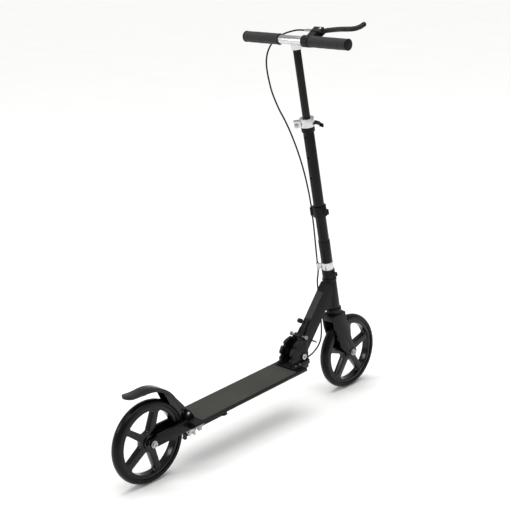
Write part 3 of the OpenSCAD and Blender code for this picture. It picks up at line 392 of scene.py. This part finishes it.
# each pore is painted darker toward its centre: painted shade in the pits
holes = wire(tree, "ShaderNodeValToRGB", {"stops": [(0.0, "#0c0c0c"), (0.35, "#282828"), (1.0, "#343434")]},
             Fac=(pores, "Distance"))
mixed = wire(tree, "ShaderNodeMix", {"data_type": "RGBA", "Factor": 0.45})
tree.links.new(body.outputs["Color"], mixed.inputs[6])
tree.links.new(holes.outputs["Color"], mixed.inputs[7])
tree.links.new(mixed.outputs[2], shader.inputs["Base Color"])
pit = wire(tree, "ShaderNodeBump", {"Strength": 0.6, "Distance": 0.0006}, Height=(pores, "Distance"))
tree.links.new(pit.outputs["Normal"], shader.inputs["Normal"])
shader.inputs["Roughness"].default_value = 0.93
shader.inputs["Sheen Weight"].default_value = 0.12
shader.inputs["Specular IOR Level"].default_value = 0.2
shader.inputs["Sheen Roughness"].default_value = 0.6
lo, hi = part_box("grips")
bar_axis = Vector(((lo.x + hi.x) / 2, 0.0, (lo.z + hi.z) / 2))
flange_r = (hi.x - lo.x) / 2
grip_r = 0.0155
bore_r = 0.0127
length = 0.128
start = 0.057
ring_count = 26
lip_length = 0.006
wobble_height = 0.00012
for side, hand in ((1, "left"), (-1, "right")):
    bpy.ops.object.select_all(action="DESELECT")
    bpy.ops.mesh.primitive_cylinder_add(vertices=64, radius=grip_r, depth=length,
                                        end_fill_type="NOTHING", location=(0, 0, start + length / 2))
    sleeve = bpy.context.object
    sleeve.name = "foam_grip_" + hand
    bpy.ops.object.transform_apply(location=True, rotation=True, scale=True)
    bpy.ops.object.mode_set(mode="EDIT")
    bpy.ops.mesh.select_all(action="SELECT")
    bpy.ops.mesh.subdivide(number_cuts=1)
    for k in range(1, ring_count):
        bpy.ops.mesh.select_all(action="SELECT")
        bpy.ops.mesh.bisect(plane_co=(0, 0, start + k * length / ring_count), plane_no=(0, 0, 1))
    bpy.ops.object.mode_set(mode="OBJECT")
    for v in sleeve.data.vertices:
        along = (v.co.z - start) / length
        swell = 0.97 + 0.03 * math.sin(math.pi * min(max(along, 0.0), 1.0)) ** 0.5
        lip = max(0.0, 1 - (v.co.z - start) / lip_length) * (flange_r - grip_r)
        wobble = wobble_height * math.sin(v.co.z * 190 + 5 * math.atan2(v.co.y, v.co.x))
        r = math.hypot(v.co.x, v.co.y)
        new = (grip_r * swell + lip + wobble) / r
        v.co.x *= new
        v.co.y *= new
    thick = sleeve.modifiers.new("foam_wall", "SOLIDIFY")
    thick.thickness = grip_r - bore_r - 0.0003
    thick.offset = -1
    bpy.ops.object.modifier_apply(modifier=thick.name)
    soften = sleeve.modifiers.new("soft_ends", "BEVEL")
    soften.width = 0.001
    soften.segments = 3
    soften.limit_method = "ANGLE"
    soften.angle_limit = math.radians(50)
    bpy.ops.object.modifier_apply(modifier=soften.name)
    lay = Matrix.Translation(bar_axis) @ Matrix.Rotation(math.radians(-90 * side), 4, "X")
    sleeve.data.transform(lay)
    bpy.ops.object.shade_smooth_by_angle(angle=math.radians(50))
    sleeve.data.materials.append(foam)
    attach(sleeve, "handlebar")
    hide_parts("grips")


# ---------------------------------------------------------------- bar plugs
# Moulded nylon caps are pushed into the ends of the bar. Their rims are eased well, as a palm rests
# on them.
eased("bar_plugs", "handlebar", 0.0014, plastic)


# ---------------------------------------------------------------- hand brake lever
# A cast clamp holds the perch in front of the bar. The barrel adjuster is bright, and the blade is
# a dark casting with a ball at its tip. The shoe that it works at the rear wheel is cast too.
cast = powder_coat("cast_lever_coat", "#0e0e0e", "#171717", 0.3, peel=0.08, edge_wear_and_highlight=0.5)
eased("lever_clamp", "handlebar", 0.0012, grey_plastic)
eased("adjuster", "handlebar", 0.0004, bright)
eased("brake_lever", "hand_brake", 0.0018, cast)
eased("brake_shoe", "shoe", 0.0006, cast)


# ---------------------------------------------------------------- cable
# One housing of steel coil in black vinyl runs from the adjuster, past the left of the stem, to the
# rear brake. It is drawn in five lengths: two ride on the stem and the deck, and the three that bend
# as the scooter is set up or folded are left on no body.
vinyl = moulded("vinyl_housing", "#050505", "#0a0a0a", 0.36, grain=0.04, coat=0.2)
housing_r = 0.0024
stem_foot = Vector((0.369847, 0.0, 0.1096195))
stem_lean = math.radians(9.5)
rear_axle = Vector((-0.402, 0.0, 0.115))
deck_pitch = math.radians(2)


def on_stem(x, y, s):
    """A place in millimetres forward, left and up along the stem, in the scooter's frame."""
    c, k = math.cos(stem_lean), math.sin(stem_lean)
    return stem_foot + Vector((x * c - s * k, y, x * k + s * c)) / 1000


def on_deck(x, y, z):
    """A place in millimetres forward, left and up from the rear axle, square to the deck."""
    c, k = math.cos(deck_pitch), math.sin(deck_pitch)
    return rear_axle + Vector((x * c - z * k, y, x * k + z * c)) / 1000


def housing(node, points):
    """A round housing 4.8 mm thick through the points, bent smoothly."""
    path = bpy.data.curves.new(node + "_housing", "CURVE")
    path.dimensions = "3D"
    path.bevel_depth = housing_r
    path.bevel_resolution = 4
    path.resolution_u = 8
    path.use_fill_caps = True
    line = path.splines.new("BEZIER")
    line.bezier_points.add(len(points) - 1)
    for i, spot in enumerate(points):
        knot = line.bezier_points[i]
        before = points[max(i - 1, 0)]
        after = points[min(i + 1, len(points) - 1)]
        lead = (after - before).normalized()
        knot.co = spot
        knot.handle_left_type = "FREE"
        knot.handle_right_type = "FREE"
        knot.handle_left = spot - lead * (spot - before).length / 3
        knot.handle_right = spot + lead * (after - spot).length / 3
    drawn = bpy.data.objects.new(node + "_curve", path)
    bpy.context.scene.collection.objects.link(drawn)
    bpy.context.view_layer.update()
    mesh = bpy.data.meshes.new_from_object(drawn.evaluated_get(bpy.context.evaluated_depsgraph_get()))
    bpy.data.objects.remove(drawn)
    piece = bpy.data.objects.new(node + "_housing", mesh)
    bpy.context.scene.collection.objects.link(piece)
    bpy.ops.object.select_all(action="DESELECT")
    bpy.context.view_layer.objects.active = piece
    piece.select_set(True)
    bpy.ops.object.shade_smooth_by_angle(angle=math.radians(40))
    mesh.materials.clear()
    mesh.materials.append(vinyl)
    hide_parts(node)
    return piece


bar_height = 988
adjuster_reach = 46
lever_tilt = math.radians(21)
lever_end = (adjuster_reach * math.cos(lever_tilt), -1, bar_height + adjuster_reach * math.sin(lever_tilt))
bow = [lever_end, (43, 30, 1003), (41, 58, 997), (38, 80, 990), (33, 104, 977), (27, 120, 963),
       (19, 132, 941), (11, 135, 917), (4, 131, 892), (-4, 121, 861), (-9, 111, 832), (-14, 90, 789),
       (-17, 69, 756), (-18, 52, 719), (-17, 35, 661), (-15, 25, 601), (-13, 20.5, 540),
       (-12, 20, 504), (-12, 20, 495)]
upper = housing("cable_upper", [on_stem(*p) for p in bow])
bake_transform(upper)
clipped = [(-12, 20, 494.2), (-12.5, 20.8, 436), (-15, 22.4, 368), (-17, 23, 322), (-17, 23, 296)]
lower = housing("cable_stem", [on_stem(*p) for p in clipped])
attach(lower, "steering")
slack = [(-17, 23, 295.2), (-19, 26, 278), (-23, 29, 254), (-29, 25, 226), (-36, 18.2, 200)]
loop = housing("cable_turn", [on_stem(*p) for p in slack])
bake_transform(loop)
hang = [on_stem(-36, 18.2, 200), on_stem(-42, 17, 178), on_stem(-48, 12, 152), on_stem(-54, 8, 130),
        on_deck(700, 8, 72), on_deck(696, 8, 48), on_deck(686, 8, 31), on_deck(671, 8, 19.5),
        on_deck(651, 8, 11), on_deck(622, 8, 6), on_deck(594.8, 8, 5)]
fold = housing("cable_fold", hang)
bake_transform(fold)
below = [(594, 8, 5), (420, 8, 4.5), (250, 8, 4), (218, 7, 1.5), (198, 6, -4), (182, 3, -17), (160, 0, -40)]
under = housing("cable_deck", [on_deck(*p) for p in below])
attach(under, "deck")


# ---------------------------------------------------------------- wheels
# Each wheel is cast nylon with five broad spokes and rounded windows. The tyre is cast polyurethane
# bonded to it, smooth, with a fine mould line round the middle.
gloss_nylon = moulded("gloss_nylon", "#040404", "#090909", 0.2, grain=0.03, coat=0.2)
urethane = moulded("cast_urethane", "#050505", "#0b0b0a", 0.3, grain=0.05)
for end in ("front", "rear"):
    eased(end + "_rim", end + "_wheel", 0.0015, gloss_nylon)
    eased(end + "_tyre", end + "_wheel", 0.001, urethane)


# ---------------------------------------------------------------- foot brake
# A glossy moulded wing springs up over the rear wheel from its hinge on the board. A rider's heel
# presses the pad under it on to the tyre.
wing = moulded("gloss_wing", "#070708", "#0e0e0f", 0.24, grain=0.02, coat=0.25)
eased("fender", "foot_brake", 0.0014, wing, smooth=40)
eased("fender_skirts", "foot_brake", 0.0006, wing, smooth=40)
eased("fender_base", "deck", 0.0008, plastic)


# ---------------------------------------------------------------- kickstand
# A bent steel leg lies along the underside at the right, on a plated bracket.
eased("kickstand", "stand", 0.0008, frame_coat)
